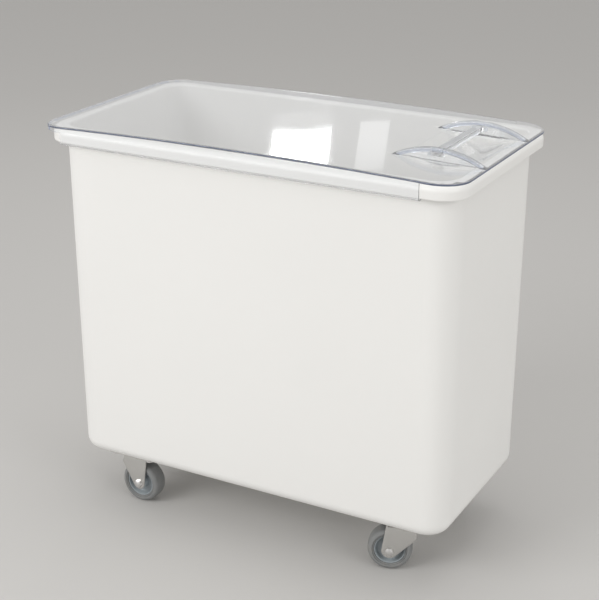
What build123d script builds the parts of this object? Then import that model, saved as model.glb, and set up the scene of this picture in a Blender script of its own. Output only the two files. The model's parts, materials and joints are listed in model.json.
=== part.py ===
from build123d import *
from math import cos, radians, sin, sqrt
import os

os.makedirs("parts", exist_ok=True)

# Wheeled ingredient bin: a moulded tub with a rolled rim, a clear lid that slides along the
# rim, two rigid and two swivel casters. Millimetres, +X towards the lid's grip, floor at Z 0,
# origin on the floor under the middle of the whole bin.

# Tub
rim_length = 750
rim_width = 400
rim_top = 706.3
rim_depth = 22.8
rim_corner = 45
rim_roll = 10
rim_lip = 6
rim_flange = 5
rim_reach = 17
rim_root = 1.5
lip_round = 2.5
mouth_round = 4
wall = 5
floor_thickness = 5
wall_corner = 43
base_edge = 22
tub_base = 100
base_draft = 9

# Lid
lid_thickness = 3
lid_gap = 0.3
lid_crown = 7
lid_side_reach = 4.3
lid_end_reach = 11
lid_back_corner = 48
lid_grip_corner = 50
lid_end_edge = 8
channel_short = 63
channel_lip = 8
channel_lip_thickness = 2.5
channel_gap = 0.8

# Grip moulded in the lid
grip_half_width = 91
grip_setback = 82
grip_rise = 27
grip_radius = 159
cheek_thickness = 3
bead_depth = 8
bead_width = 8
bar_setback = 3
bar_drop = 6.8
bar_width = 16
bar_depth = 8
bar_wall = 3
bar_round = 1.2
trough_depth = 12
trough_length = 114

# Caster plates' places, in from the rim's outer edge
rigid_inset = 116.5
rigid_side_inset = 76
rigid_axle_offset = 7
swivel_inset = 104.5
swivel_side_inset = 89
swivel_turn = 20
swivel_trail = 26

# Caster plates and their fasteners
plate_length = 95
plate_width = 67
plate_thickness = 2.5
plate_corner = 8
bolt_spacing_along = 73
bolt_spacing_across = 45
bolt_hole = 9
bolt_slot = 13
bolt_size = 8
bolt_reach = 10
bolt_head_flats = 13
bolt_head_height = 5.3
washer_diameter = 17
washer_thickness = 1.6
insert_diameter = 13
insert_length = 13
thread_gap = 0.05
pad_length = 112
pad_width = 78
pad_height = 14
pad_corner = 12
pad_round = 4

# Wheel
wheel_diameter = 76
tyre_width = 32
tyre_bore = 54
tyre_shoulder = 7
core_rim_width = 26
core_rim_wall = 4
core_rim_lip = 1.5
core_web = 6
hub_diameter = 24
hub_length = 34
bush_wall = 3
sleeve_diameter = 12
axle_diameter = 8
axle_gap = 0.1
running_gap = 0.05
head_flats = 13
head_height = 5.3
nut_height = 6.5
thread_past_nut = 2
edge_break = 0.8

# Forks
fork_sheet = 2.5
fork_side_gap = 0.5
rigid_tip = 12
rigid_leg_front = 19.5
rigid_leg_back = 34
rigid_leg_top = 27
rigid_chest = 76
swivel_tip = 14
fork_back = 32
fork_front = 20
fork_chest = 64
crown_diameter = 58

# Swivel bearing
ball_diameter = 5.9
ball_count = 20
ball_gap = 0.2
ball_ring = 42
race_roof = 2.4
race_wall = 2.6
kingpin_diameter = 16
kingpin_head = 26
kingpin_head_height = 4
kingpin_seat = 10.5
crown_gap = 0.1
roof_gap = 0.3

# Places worked out from the sizes above
mid_x = lid_end_reach / 2
rigid_x = rigid_inset - rim_length / 2
rigid_y = rim_width / 2 - rigid_side_inset
swivel_x = rim_length / 2 - swivel_inset
swivel_y = rim_width / 2 - swivel_side_inset
wheel_radius = wheel_diameter / 2
plate_under = tub_base - plate_thickness
rim_bottom = rim_top - rim_depth
wall_length = rim_length - 2 * rim_reach
wall_top_width = rim_width - 2 * rim_reach
wall_base_width = wall_top_width - 2 * base_draft
lid_half = rim_width / 2 + lid_side_reach
lid_left = mid_x - rim_length / 2 - lid_end_reach
lid_right = mid_x + rim_length / 2
lid_under = rim_top + lid_gap
grip_x = lid_right - grip_setback
bar_x = grip_x - bar_setback
leg_inner = hub_length / 2 + fork_side_gap
leg_outer = leg_inner + fork_sheet
ball_radius = ball_diameter / 2
race_inner = ball_ring / 2 + ball_radius + ball_gap
hub_ring = ball_ring / 2 - ball_radius - ball_gap
race_roof_z = plate_under - race_roof
crown_top = race_roof_z - ball_diameter - 2 * ball_gap
crown_under = crown_top - fork_sheet
tub_plan = Plane.XY.move(Location((mid_x, 0, 0)))
channel_start = lid_left + lid_back_corner
channel_end = lid_right - channel_short
channel_reach = lid_thickness + channel_lip
lip_under = rim_bottom - channel_gap - channel_lip_thickness
edge_under = lid_under + lid_thickness - lid_end_edge


def crown_height(x):
    # height of the lid's underside at a place along its length
    half_span = (lid_right - lid_left) / 2
    from_middle = (x - (lid_left + lid_right) / 2) / half_span
    return lid_under + lid_crown * (1 - from_middle**2)


plate_top = crown_height(grip_x) + lid_thickness
arch_top = lid_under + grip_rise
bar_top = arch_top - bar_drop
arch_centre = arch_top - grip_radius
arch_foot = lid_under - lid_thickness
trough_radius = (trough_length**2 / 4 + trough_depth**2) / (2 * trough_depth)
trough_centre = plate_top - trough_depth + trough_radius
trough_inner = grip_half_width - cheek_thickness / 2
trough_outer = grip_half_width + cheek_thickness / 2
trough_under = plate_top - trough_depth - 2 * lid_thickness
caster_places = [(rigid_x, -rigid_y), (rigid_x, rigid_y), (swivel_x, -swivel_y), (swivel_x, swivel_y)]

bolt_places = [
    (x + along * bolt_spacing_along / 2, y + across * bolt_spacing_across / 2)
    for x, y in caster_places
    for along in (-1, 1)
    for across in (-1, 1)
]


def save(piece, name):
    piece.label = name
    export_step(piece, f"parts/{name}.step")


def half_width(z):
    # half the tub's outer width at a height, with the draft of its long walls
    rise = (z - tub_base) / (rim_top - tub_base)
    return wall_base_width / 2 + rise * (wall_top_width - wall_base_width) / 2


def wall_block(inset, base, top, corner, edge):
    # the block that the walls enclose, moved in by an inset
    low = half_width(base) - inset
    high = half_width(top) - inset
    with BuildPart() as block:
        with BuildSketch(Plane.YZ.offset(mid_x)):
            Polygon((-low, base), (low, base), (high, top), (-high, top), align=None)
        extrude(amount=wall_length / 2 - inset, both=True)
        upright = [e for e in block.edges() if abs(e.tangent_at(0.5).Z) > 0.9]
        fillet(upright, corner)
        fillet(block.faces().sort_by(Axis.Z)[0].edges(), edge)
    return block.part


def make_tub():
    with BuildPart() as bin_tub:
        # rolled rim, open underneath between its lip and the wall
        with BuildSketch(tub_plan.offset(rim_bottom)):
            RectangleRounded(rim_length, rim_width, rim_corner)
        extrude(amount=rim_depth)
        fillet(bin_tub.faces().sort_by(Axis.Z)[-1].edges(), rim_roll)
        root_corner = wall_corner + rim_root
        with BuildSketch(tub_plan.offset(rim_bottom)):
            RectangleRounded(rim_length - 2 * rim_lip, rim_width - 2 * rim_lip, rim_corner - rim_lip)
            RectangleRounded(
                wall_length + 2 * rim_root,
                wall_top_width + 2 * rim_root,
                root_corner,
                mode=Mode.SUBTRACT,
            )
        extrude(amount=rim_depth - rim_flange, mode=Mode.SUBTRACT)
        lip_face = bin_tub.faces().group_by(Axis.Z)[0].sort_by(SortBy.AREA)[0]
        fillet(lip_face.edges(), lip_round)

        # walls and floor
        add(wall_block(0, tub_base, rim_top, wall_corner, base_edge))
        inside = wall_block(wall, tub_base + floor_thickness, rim_top, wall_corner - wall, base_edge - wall)
        add(inside, mode=Mode.SUBTRACT)
        fillet(bin_tub.faces().sort_by(Axis.Z)[-1].inner_wires().edges(), mouth_round)

        # raised pads that hold the threaded inserts
        with BuildSketch(tub_plan.offset(tub_base + floor_thickness / 2)):
            with Locations(*caster_places):
                RectangleRounded(pad_length, pad_width, pad_corner)
        extrude(amount=floor_thickness / 2 + pad_height)
        pad_tops = bin_tub.faces().filter_by(
            lambda f: abs(f.center().Z - tub_base - floor_thickness - pad_height) < 0.01
        )
        fillet(pad_tops.edges(), pad_round)
        with BuildSketch(tub_plan.offset(tub_base)):
            with Locations(*bolt_places):
                Circle(insert_diameter / 2)
        extrude(amount=insert_length, mode=Mode.SUBTRACT)
    save(bin_tub.part, "bin_tub")


def crowned_slab(start, end, base, lift, near, far):
    # solid with a flat base and the lid's crown on top, a lift above the lid's underside
    middle = (start + end) / 2
    with BuildPart() as slab:
        with BuildSketch(Plane.XZ.offset(-far)):
            with BuildLine():
                Polyline(
                    (start, crown_height(start) + lift),
                    (start, base),
                    (end, base),
                    (end, crown_height(end) + lift),
                )
                ThreePointArc(
                    (end, crown_height(end) + lift),
                    (middle, crown_height(middle) + lift),
                    (start, crown_height(start) + lift),
                )
            make_face()
        extrude(amount=far - near)
    return slab.part


def lid_slab(base, lift):
    # such a solid a little larger than the whole lid
    start = lid_left - lid_thickness
    end = lid_right + lid_thickness
    reach = lid_half + lid_thickness
    return crowned_slab(start, end, base, lift, -reach, reach)


def lid_outline(plane, end_corners):
    # plan of the lid, with its back corners rounded and, where asked, those at the grip too
    with BuildSketch(plane) as plan:
        with Locations(((lid_left + lid_right) / 2, 0)):
            Rectangle(lid_right - lid_left, 2 * lid_half)
        fillet(plan.vertices().group_by(Axis.X)[0], lid_back_corner)
        if end_corners:
            fillet(plan.vertices().group_by(Axis.X)[-1], lid_grip_corner)
    return plan.sketch


def arch_band(side_y, depth, thickness):
    # arched band of the grip, cut off at the lid's end
    with BuildPart() as band:
        with BuildSketch(Plane.XZ.offset(-side_y)):
            with Locations((grip_x, arch_centre)):
                Circle(grip_radius)
                Circle(grip_radius - depth, mode=Mode.SUBTRACT)
            with Locations((lid_right, arch_foot)):
                Rectangle(
                    2 * grip_radius,
                    2 * grip_rise,
                    align=(Align.MAX, Align.MIN),
                    mode=Mode.INTERSECT,
                )
        extrude(amount=thickness / 2, both=True)
    return band.part


def make_grip():
    # two arched cheeks, each with a thicker bead on top, and a crossbar open underneath
    plate_middle = lid_slab(trough_under, lid_thickness / 2)
    with BuildPart() as grip:
        with BuildSketch(Plane.XZ):
            with Locations((bar_x, bar_top)):
                Rectangle(bar_width, bar_depth, align=(Align.CENTER, Align.MAX))
        extrude(amount=grip_half_width, both=True)
        fillet(grip.edges().filter_by(Axis.Y).group_by(Axis.Z)[-1], bar_round)
        with BuildSketch(Plane.XZ):
            with Locations((bar_x, bar_top - bar_wall)):
                Rectangle(bar_width - 2 * bar_wall, bar_depth, align=(Align.CENTER, Align.MAX))
        extrude(amount=grip_half_width, both=True, mode=Mode.SUBTRACT)
        for side_y in (-grip_half_width, grip_half_width):
            add(arch_band(side_y, grip_rise, cheek_thickness))
            add(arch_band(side_y, bead_depth, bead_width))
        add(plate_middle, mode=Mode.SUBTRACT)
    return grip.part


def make_trough():
    # shell of the dished finger trough below the plate
    plate_middle = lid_slab(trough_under, lid_thickness / 2)
    with BuildPart() as trough:
        with BuildSketch(Plane.XZ.offset(-trough_outer)):
            with Locations((grip_x, trough_centre)):
                Circle(trough_radius + lid_thickness)
            with Locations((grip_x, trough_centre)):
                Rectangle(trough_length, 2 * trough_radius + 4 * lid_thickness, mode=Mode.INTERSECT)
        extrude(amount=2 * trough_outer)
        add(plate_middle, mode=Mode.INTERSECT)
    return trough.part


def make_lid():
    plate_block = lid_slab(edge_under, lid_thickness)
    below_plate = lid_slab(edge_under, 0)
    channel_inner = lid_half - lid_thickness
    channel_shape = (channel_start, channel_end, lip_under, lid_thickness / 2)
    front_channel = crowned_slab(*channel_shape, -lid_half, -channel_inner)
    rear_channel = crowned_slab(*channel_shape, channel_inner, lid_half)
    outline = lid_outline(Plane.XY.offset(edge_under), True)
    edge_outline = lid_outline(Plane.XY.offset(edge_under), False)
    trough = make_trough()
    grip = make_grip()

    with BuildPart() as sliding_lid:
        # crowned plate, cut to the lid's outline
        add(plate_block)
        add(below_plate, mode=Mode.SUBTRACT)
        with BuildSketch(Plane.XY.offset(edge_under)):
            add(outline)
        extrude(amount=lid_end_edge + lid_crown, mode=Mode.INTERSECT)

        # edge turned down round the back end
        with BuildSketch(Plane.XY.offset(edge_under)):
            add(edge_outline)
            offset(amount=-lid_thickness, kind=Kind.INTERSECTION, mode=Mode.SUBTRACT)
            with Locations((channel_start, 0)):
                kept_side = (Align.MIN, Align.CENTER)
                Rectangle(2 * rim_length, 2 * rim_width, align=kept_side, mode=Mode.SUBTRACT)
        extrude(amount=lid_end_edge)

        # side channels that hook under the rim
        add(front_channel)
        add(rear_channel)
        with BuildSketch(Plane.XY.offset(lip_under)):
            for lip_y in (-lid_half + channel_reach / 2, lid_half - channel_reach / 2):
                with Locations(((channel_start + channel_end) / 2, lip_y)):
                    Rectangle(channel_end - channel_start, channel_reach)
        extrude(amount=channel_lip_thickness)

        # finger trough, then the grip over it
        add(trough)
        with BuildSketch(Plane.XZ):
            with Locations((grip_x, trough_centre)):
                Circle(trough_radius)
        extrude(amount=trough_inner, both=True, mode=Mode.SUBTRACT)
        add(grip)
    save(sliding_lid.part, "sliding_lid")


def make_fasteners():
    # four bolts, washers and moulded-in inserts for each caster plate
    with BuildPart() as inserts:
        with BuildSketch(tub_plan.offset(tub_base)):
            with Locations(*bolt_places):
                Circle(insert_diameter / 2)
                Circle(bolt_size / 2 + thread_gap, mode=Mode.SUBTRACT)
        extrude(amount=insert_length)
    save(inserts.part, "threaded_inserts")

    with BuildPart() as washers:
        with BuildSketch(tub_plan.offset(plate_under - washer_thickness)):
            with Locations(*bolt_places):
                Circle(washer_diameter / 2)
                Circle(bolt_size / 2 + thread_gap, mode=Mode.SUBTRACT)
        extrude(amount=washer_thickness)
    save(washers.part, "caster_washers")

    head_top = plate_under - washer_thickness
    with BuildPart() as bolts:
        with BuildSketch(tub_plan.offset(head_top - bolt_head_height)):
            with Locations(*bolt_places):
                RegularPolygon(bolt_head_flats / 2, 6, major_radius=False)
        extrude(amount=bolt_head_height)
        chamfer(bolts.faces().group_by(Axis.Z)[0].edges(), edge_break)
        with BuildSketch(tub_plan.offset(head_top)):
            with Locations(*bolt_places):
                Circle(bolt_size / 2)
        extrude(amount=tub_base + bolt_reach - head_top)
    save(bolts.part, "caster_bolts")


def side_plane(x, y, turn):
    # plane through a wheel's middle: local x forward, local y up, normal along the axle
    forward = (cos(radians(turn)), sin(radians(turn)), 0)
    axle = (sin(radians(turn)), -cos(radians(turn)), 0)
    return Plane(origin=(x, y, wheel_radius), x_dir=forward, z_dir=axle)


def ring(plane, outer, inner, start, end):
    with BuildPart() as piece:
        with BuildSketch(plane.offset(start)):
            Circle(outer)
            Circle(inner, mode=Mode.SUBTRACT)
        extrude(amount=end - start)
    return piece


def make_wheel(plane, name):
    # rubber tyre with rounded shoulders on a moulded core with a hub and a rim
    bore = tyre_bore / 2
    with BuildPart() as tyre:
        add(ring(plane, wheel_radius, bore, -tyre_width / 2, tyre_width / 2).part)
        outer = tyre.edges().filter_by(GeomType.CIRCLE).sort_by(SortBy.RADIUS)[-2:]
        fillet(outer, tyre_shoulder)
    save(tyre.part, f"tyre_{name}")

    bush_outer = sleeve_diameter / 2 + running_gap + bush_wall
    with BuildPart() as core:
        add(ring(plane, bore, bore - core_rim_wall, -core_rim_width / 2, core_rim_width / 2).part)
        lip = core.edges().filter_by(GeomType.CIRCLE).sort_by(SortBy.RADIUS)[:2]
        chamfer(lip, core_rim_lip)
        web_outer = bore - core_rim_wall / 2
        web_inner = (hub_diameter / 2 + bush_outer) / 2
        add(ring(plane, web_outer, web_inner, -core_web / 2, core_web / 2).part)
        add(ring(plane, hub_diameter / 2, bush_outer, -hub_length / 2, hub_length / 2).part)
    save(core.part, f"wheel_core_{name}")

    bush = ring(plane, bush_outer, sleeve_diameter / 2 + running_gap, -hub_length / 2, hub_length / 2)
    save(bush.part, f"wheel_bush_{name}")


def make_axle(plane, name):
    # bolt through both fork legs, with a spacer sleeve clamped between them
    bore = axle_diameter / 2 + axle_gap
    sleeve = ring(plane, sleeve_diameter / 2, bore, -leg_inner, leg_inner)
    save(sleeve.part, f"axle_sleeve_{name}")

    tail = -leg_outer - nut_height - thread_past_nut
    with BuildPart() as bolt:
        with BuildSketch(plane.offset(leg_outer)):
            RegularPolygon(head_flats / 2, 6, major_radius=False)
        extrude(amount=head_height)
        top = bolt.faces().sort_by(Axis(plane.origin, plane.z_dir))[-1]
        chamfer(top.edges(), edge_break)
        with BuildSketch(plane.offset(tail)):
            Circle(axle_diameter / 2)
        extrude(amount=leg_outer - tail)
    save(bolt.part, f"axle_bolt_{name}")

    with BuildPart() as nut:
        with BuildSketch(plane.offset(-leg_outer - nut_height)):
            RegularPolygon(head_flats / 2, 6, major_radius=False)
            Circle(bore, mode=Mode.SUBTRACT)
        extrude(amount=nut_height)
    save(nut.part, f"axle_nut_{name}")


def leg_pair(plane, outline):
    # the two fork legs, from one outline drawn in the wheel's plane about the axle
    with BuildPart() as legs:
        for inner in (leg_inner, -leg_outer):
            with BuildSketch(plane.offset(inner)):
                add(outline)
                Circle(axle_diameter / 2 + axle_gap, mode=Mode.SUBTRACT)
            extrude(amount=fork_sheet)
    return legs.part


def tangent_point(tip, x, y, side):
    # where a line from a point meets the leg's round tip about the axle
    reach = sqrt(x * x + y * y)
    along = tip * tip / reach
    across = side * tip * sqrt(reach * reach - tip * tip) / reach
    return (along * x / reach - across * y / reach, along * y / reach + across * x / reach)


def make_rigid_caster(x, y, name):
    plane = side_plane(x + rigid_axle_offset, y, 0)
    top = plate_under - wheel_radius
    chest = rigid_chest - wheel_radius
    with BuildSketch() as outline:
        with BuildLine():
            right = tangent_point(rigid_tip, rigid_leg_front, top, -1)
            left = tangent_point(rigid_tip, -rigid_leg_back, chest, 1)
            Polyline(
                right,
                (rigid_leg_front, top),
                (-rigid_leg_top, top),
                (-rigid_leg_back, chest),
                left,
            )
            ThreePointArc(left, (0, -rigid_tip), right)
        make_face()
    with BuildPart() as fork:
        with BuildSketch(Plane.XY.offset(plate_under)):
            with Locations((x, y)):
                RectangleRounded(plate_length, plate_width, plate_corner)
                with GridLocations(bolt_spacing_along, bolt_spacing_across, 2, 2):
                    SlotOverall(bolt_slot, bolt_hole, mode=Mode.SUBTRACT)
        extrude(amount=plate_thickness)
        add(leg_pair(plane, outline.sketch))
    save(fork.part, f"rigid_fork_{name}")
    make_wheel(plane, f"rigid_{name}")
    make_axle(plane, f"rigid_{name}")


def make_swivel_caster(x, y, name):
    forward = (cos(radians(swivel_turn)), sin(radians(swivel_turn)), 0)
    pivot = Plane(origin=(x, y, 0), x_dir=forward, z_dir=(0, 0, 1))
    axle_x = x - swivel_trail * forward[0]
    axle_y = y - swivel_trail * forward[1]
    plane = side_plane(axle_x, axle_y, swivel_turn)

    with BuildPart() as plate:
        with BuildSketch(Plane.XY.offset(plate_under)):
            with Locations((x, y)):
                RectangleRounded(plate_length, plate_width, plate_corner)
                with GridLocations(bolt_spacing_along, bolt_spacing_across, 2, 2):
                    SlotOverall(bolt_slot, bolt_hole, mode=Mode.SUBTRACT)
        extrude(amount=plate_thickness)
        with BuildSketch(Plane((x, y, tub_base), x_dir=(1, 0, 0), z_dir=(0, 1, 0))):
            Polygon(
                (0, 0),
                (kingpin_seat, 0),
                (kingpin_diameter / 2, plate_thickness),
                (0, plate_thickness),
                align=None,
            )
        revolve(axis=Axis((x, y, 0), (0, 0, 1)), mode=Mode.SUBTRACT)
    save(plate.part, f"swivel_plate_{name}")

    with BuildPart() as race:
        with BuildSketch(pivot.offset(race_roof_z)):
            Circle(race_inner + race_wall)
            Circle(kingpin_diameter / 2, mode=Mode.SUBTRACT)
        extrude(amount=race_roof)
        with BuildSketch(pivot.offset(crown_top + roof_gap)):
            Circle(race_inner + race_wall)
            Circle(race_inner, mode=Mode.SUBTRACT)
        extrude(amount=race_roof_z - crown_top - roof_gap)
    save(race.part, f"ball_race_{name}")

    with BuildPart(pivot.offset(crown_top + ball_gap + ball_radius)) as balls:
        with PolarLocations(ball_ring / 2, ball_count):
            Sphere(ball_radius)
    save(balls.part, f"race_balls_{name}")

    head_top = crown_under - crown_gap
    with BuildPart() as kingpin:
        with BuildSketch(Plane((x, y, 0), x_dir=(1, 0, 0), z_dir=(0, -1, 0))):
            Polygon(
                (0, tub_base),
                (kingpin_seat, tub_base),
                (kingpin_diameter / 2, plate_under),
                (kingpin_diameter / 2, head_top),
                (kingpin_head / 2, head_top),
                (kingpin_head / 2, head_top - kingpin_head_height / 2),
                (kingpin_diameter / 2, head_top - kingpin_head_height),
                (0, head_top - kingpin_head_height),
                align=None,
            )
        revolve(axis=Axis((x, y, 0), (0, 0, 1)))
    save(kingpin.part, f"kingpin_{name}")

    # leg outline about the axle: the crown's back, down to the tip, up to the chest and crown
    top = crown_top - wheel_radius
    back = swivel_trail - fork_back
    front = swivel_trail + fork_front
    chest = fork_chest - wheel_radius
    with BuildSketch() as outline:
        with BuildLine():
            right = tangent_point(swivel_tip, front, chest, -1)
            left = tangent_point(swivel_tip, back, top, 1)
            Polyline(right, (front, chest), (front, top), (back, top), left)
            ThreePointArc(left, (0, -swivel_tip), right)
        make_face()
    with BuildPart() as fork:
        with BuildSketch(pivot.offset(crown_under)):
            with Locations(((fork_front - fork_back) / 2, 0)):
                Rectangle(fork_front + fork_back, 2 * leg_outer)
            Circle(crown_diameter / 2)
        extrude(amount=fork_sheet)
        with BuildSketch(pivot.offset(crown_top)):
            Circle(hub_ring)
        extrude(amount=race_roof_z - crown_top - roof_gap)
        with BuildSketch(pivot.offset(crown_under)):
            Circle(kingpin_diameter / 2 + running_gap)
        extrude(amount=race_roof_z - crown_under, mode=Mode.SUBTRACT)
        add(leg_pair(plane, outline.sketch))
    save(fork.part, f"swivel_fork_{name}")
    make_wheel(plane, f"swivel_{name}")
    make_axle(plane, f"swivel_{name}")


make_tub()
make_lid()
make_fasteners()
for side_name, side_sign in (("front", -1), ("rear", 1)):
    make_rigid_caster(mid_x + rigid_x, side_sign * rigid_y, side_name)
    make_swivel_caster(mid_x + swivel_x, side_sign * swivel_y, side_name)
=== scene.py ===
import json
from math import atan2, cos, degrees, hypot, pi, radians, sin, sqrt, tan, tau

import bmesh
import bpy
from mathutils import Matrix, Vector
from mathutils.geometry import delaunay_2d_cdt

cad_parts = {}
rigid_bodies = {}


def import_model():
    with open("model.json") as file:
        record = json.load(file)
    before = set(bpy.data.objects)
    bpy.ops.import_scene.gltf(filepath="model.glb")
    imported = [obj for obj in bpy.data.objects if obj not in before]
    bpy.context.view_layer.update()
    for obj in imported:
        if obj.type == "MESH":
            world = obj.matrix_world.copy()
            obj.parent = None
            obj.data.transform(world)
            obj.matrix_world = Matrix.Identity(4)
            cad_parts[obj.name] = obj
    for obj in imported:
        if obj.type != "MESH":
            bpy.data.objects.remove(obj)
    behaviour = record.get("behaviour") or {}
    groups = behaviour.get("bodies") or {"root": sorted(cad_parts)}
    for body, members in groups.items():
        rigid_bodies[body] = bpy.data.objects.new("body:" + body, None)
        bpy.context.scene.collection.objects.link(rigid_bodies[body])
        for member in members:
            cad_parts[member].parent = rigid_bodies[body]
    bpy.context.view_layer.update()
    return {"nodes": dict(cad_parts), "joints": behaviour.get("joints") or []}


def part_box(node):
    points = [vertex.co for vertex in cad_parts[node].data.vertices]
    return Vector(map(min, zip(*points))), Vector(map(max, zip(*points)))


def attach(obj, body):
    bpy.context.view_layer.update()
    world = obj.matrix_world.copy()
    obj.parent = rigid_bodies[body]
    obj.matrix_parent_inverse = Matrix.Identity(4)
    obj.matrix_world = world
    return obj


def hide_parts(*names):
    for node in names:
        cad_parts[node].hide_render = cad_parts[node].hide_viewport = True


# Rolling ingredient bin: white moulded tub, clear lid that slides on its rim, four casters.
# Metres, +X towards the lid's grip, floor at Z 0.
mm = 0.001
up = Vector((0, 0, 1))

for leftover in list(bpy.data.objects):
    bpy.data.objects.remove(leftover)

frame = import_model()
print("frame loaded:", len(frame["nodes"]), "CAD nodes")


def addObject(name, data):
    made = bpy.data.objects.new(name, data)
    bpy.context.scene.collection.objects.link(made)
    return made


def newMaterial(name, roughness, metallic=0.0):
    material = bpy.data.materials.new(name)
    material.use_nodes = True
    tree = material.node_tree
    shader = tree.nodes["Principled BSDF"]
    shader.inputs["Roughness"].default_value = roughness
    shader.inputs["Metallic"].default_value = metallic
    place = tree.nodes.new("ShaderNodeTexCoord").outputs["Object"]
    return material, tree, shader, place


def noise(tree, place, scale, detail=3.0, stretch=None):
    if stretch:
        mapping = tree.nodes.new("ShaderNodeMapping")
        mapping.inputs["Scale"].default_value = stretch
        tree.links.new(place, mapping.inputs["Vector"])
        place = mapping.outputs["Vector"]
    texture = tree.nodes.new("ShaderNodeTexNoise")
    texture.inputs["Scale"].default_value = scale
    texture.inputs["Detail"].default_value = detail
    tree.links.new(place, texture.inputs["Vector"])
    return texture.outputs["Fac"]


def spread(tree, factor, low, high, start=0.3, end=0.7):
    # a value from low to high as the factor goes from start to end
    node = tree.nodes.new("ShaderNodeMapRange")
    for socket, number in (("From Min", start), ("From Max", end), ("To Min", low), ("To Max", high)):
        node.inputs[socket].default_value = number
    tree.links.new(factor, node.inputs["Value"])
    return node.outputs["Result"]


def blendColours(tree, factor, first, second):
    node = tree.nodes.new("ShaderNodeMix")
    node.data_type = "RGBA"
    tree.links.new(factor, node.inputs[0])
    for socket, colour in ((node.inputs[6], first), (node.inputs[7], second)):
        if isinstance(colour, tuple):
            socket.default_value = (*colour, 1)
        else:
            tree.links.new(colour, socket)
    return node.outputs[2]


def addTone(tree, shader, tone, factor, roughness):
    tree.links.new(tone, shader.inputs["Base Color"])
    tree.links.new(spread(tree, factor, *roughness), shader.inputs["Roughness"])


def addBump(tree, shader, height, strength, distance):
    bump = tree.nodes.new("ShaderNodeBump")
    bump.inputs["Strength"].default_value = strength
    bump.inputs["Distance"].default_value = distance
    tree.links.new(height, bump.inputs["Height"])
    tree.links.new(bump.outputs["Normal"], shader.inputs["Normal"])


polyethyleneLook = {
    "tones": ((0.87, 0.865, 0.845), (0.835, 0.83, 0.81)),
    "mottle": 3.0,
    "roughness": (0.34, 0.46),
    "patches": 34.0,
    "grain": 900.0,
    "bump": 0.12,
    "bumpDepth": 0.3 * mm,
}


def makePolyethylene():
    look = polyethyleneLook
    material, tree, shader, place = newMaterial("satinPolyethylene", look["roughness"][0])
    tone = blendColours(tree, noise(tree, place, look["mottle"]), *look["tones"])
    addTone(tree, shader, tone, noise(tree, place, look["patches"], 5.0), look["roughness"])
    addBump(tree, shader, noise(tree, place, look["grain"], 2.0), look["bump"], look["bumpDepth"])
    return material


clearLook = {
    "ior": 1.46,
    "haze": 9.0,
    "hazeTone": 0.99,
    # colour, clearness, roughness; the edge colour is partly the blue a clear sheet has along its edges
    # and partly painted shade and reflection, and the bead colour is painted shade and reflection
    "clearPolycarbonate": ((0.905, 0.915, 0.93), 0.92, (0.02, 0.05)),
    "texturedPolycarbonate": ((0.78, 0.80, 0.83), 0.85, (0.36, 0.46)),
    # painted shade and reflection: dark blue for the rim all round the plate
    "edgePaintedShadePolycarbonate": ((0.25, 0.33, 0.62), 0.92, (0.02, 0.05)),
    # painted shade and reflection: blue-grey for the upright sides of the cheeks' beads
    "beadPaintedShadePolycarbonate": ((0.69, 0.73, 0.82), 0.92, (0.02, 0.05)),
}


def makeClear(name):
    colour, clearness, roughness = clearLook[name]
    material, tree, shader, place = newMaterial(name, roughness[0])
    shader.inputs["Transmission Weight"].default_value = clearness
    shader.inputs["IOR"].default_value = clearLook["ior"]
    haze = noise(tree, place, clearLook["haze"], 6.0)
    faint = tuple(part * clearLook["hazeTone"] for part in colour)
    addTone(tree, shader, blendColours(tree, haze, colour, faint), haze, roughness)
    # lamps and light from the walls pass straight through to the bin
    rays = tree.nodes.new("ShaderNodeLightPath")
    surface = shader.outputs["BSDF"]
    for ray in ("Is Shadow Ray", "Is Diffuse Ray"):
        passing = tree.nodes.new("ShaderNodeBsdfTransparent")
        mix = tree.nodes.new("ShaderNodeMixShader")
        for i, output in enumerate((rays.outputs[ray], surface, passing.outputs[0])):
            tree.links.new(output, mix.inputs[i])
        surface = mix.outputs[0]
    tree.links.new(surface, tree.nodes["Material Output"].inputs["Surface"])
    return material


surfaceLooks = {
    # scale of the clouds of tone as a share of the grain's, their detail, the grain's detail, metallic
    "metal": (0.25, 4.0, 5.0, 1.0),
    "matt": (0.06, 5.0, 4.0, 0.0),
    "bumpDepth": 0.2 * mm,
    "dustPatches": 60.0,
    "dustMost": 0.55,
    "dustRange": (0.5, 0.75),
    "zincPlate": {
        "tones": ((0.70, 0.69, 0.67), (0.60, 0.595, 0.58)),
        "roughness": (0.17, 0.25),
        "grain": 60.0,
        "stretch": (1, 1, 0.2),
        "bump": 0.008,
    },
    "brightSteel": {
        "tones": ((0.76, 0.75, 0.74), (0.69, 0.68, 0.67)),
        "roughness": (0.26, 0.36),
        "grain": 200.0,
        "bump": 0.01,
    },
    "turnedBrass": {
        "tones": ((0.78, 0.60, 0.30), (0.68, 0.50, 0.24)),
        "roughness": (0.25, 0.4),
        "grain": 500.0,
        "bump": 0.05,
    },
    "polishedBalls": {
        "tones": ((0.82, 0.82, 0.82), (0.76, 0.76, 0.76)),
        "roughness": (0.06, 0.12),
        "grain": 500.0,
        "bump": 0.01,
    },
    "greyRubber": {
        "tones": ((0.245, 0.25, 0.25), (0.195, 0.20, 0.20)),
        "roughness": (0.48, 0.66),
        "grain": 900.0,
        "bump": 0.2,
        "dust": (0.30, 0.29, 0.27),
    },
    "greyCore": {
        "tones": ((0.36, 0.395, 0.415), (0.30, 0.335, 0.355)),
        "roughness": (0.3, 0.42),
        "grain": 700.0,
        "bump": 0.1,
    },
    "naturalNylon": {
        "tones": ((0.72, 0.70, 0.64), (0.66, 0.64, 0.58)),
        "roughness": (0.35, 0.5),
        "grain": 700.0,
        "bump": 0.1,
    },
}


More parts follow.
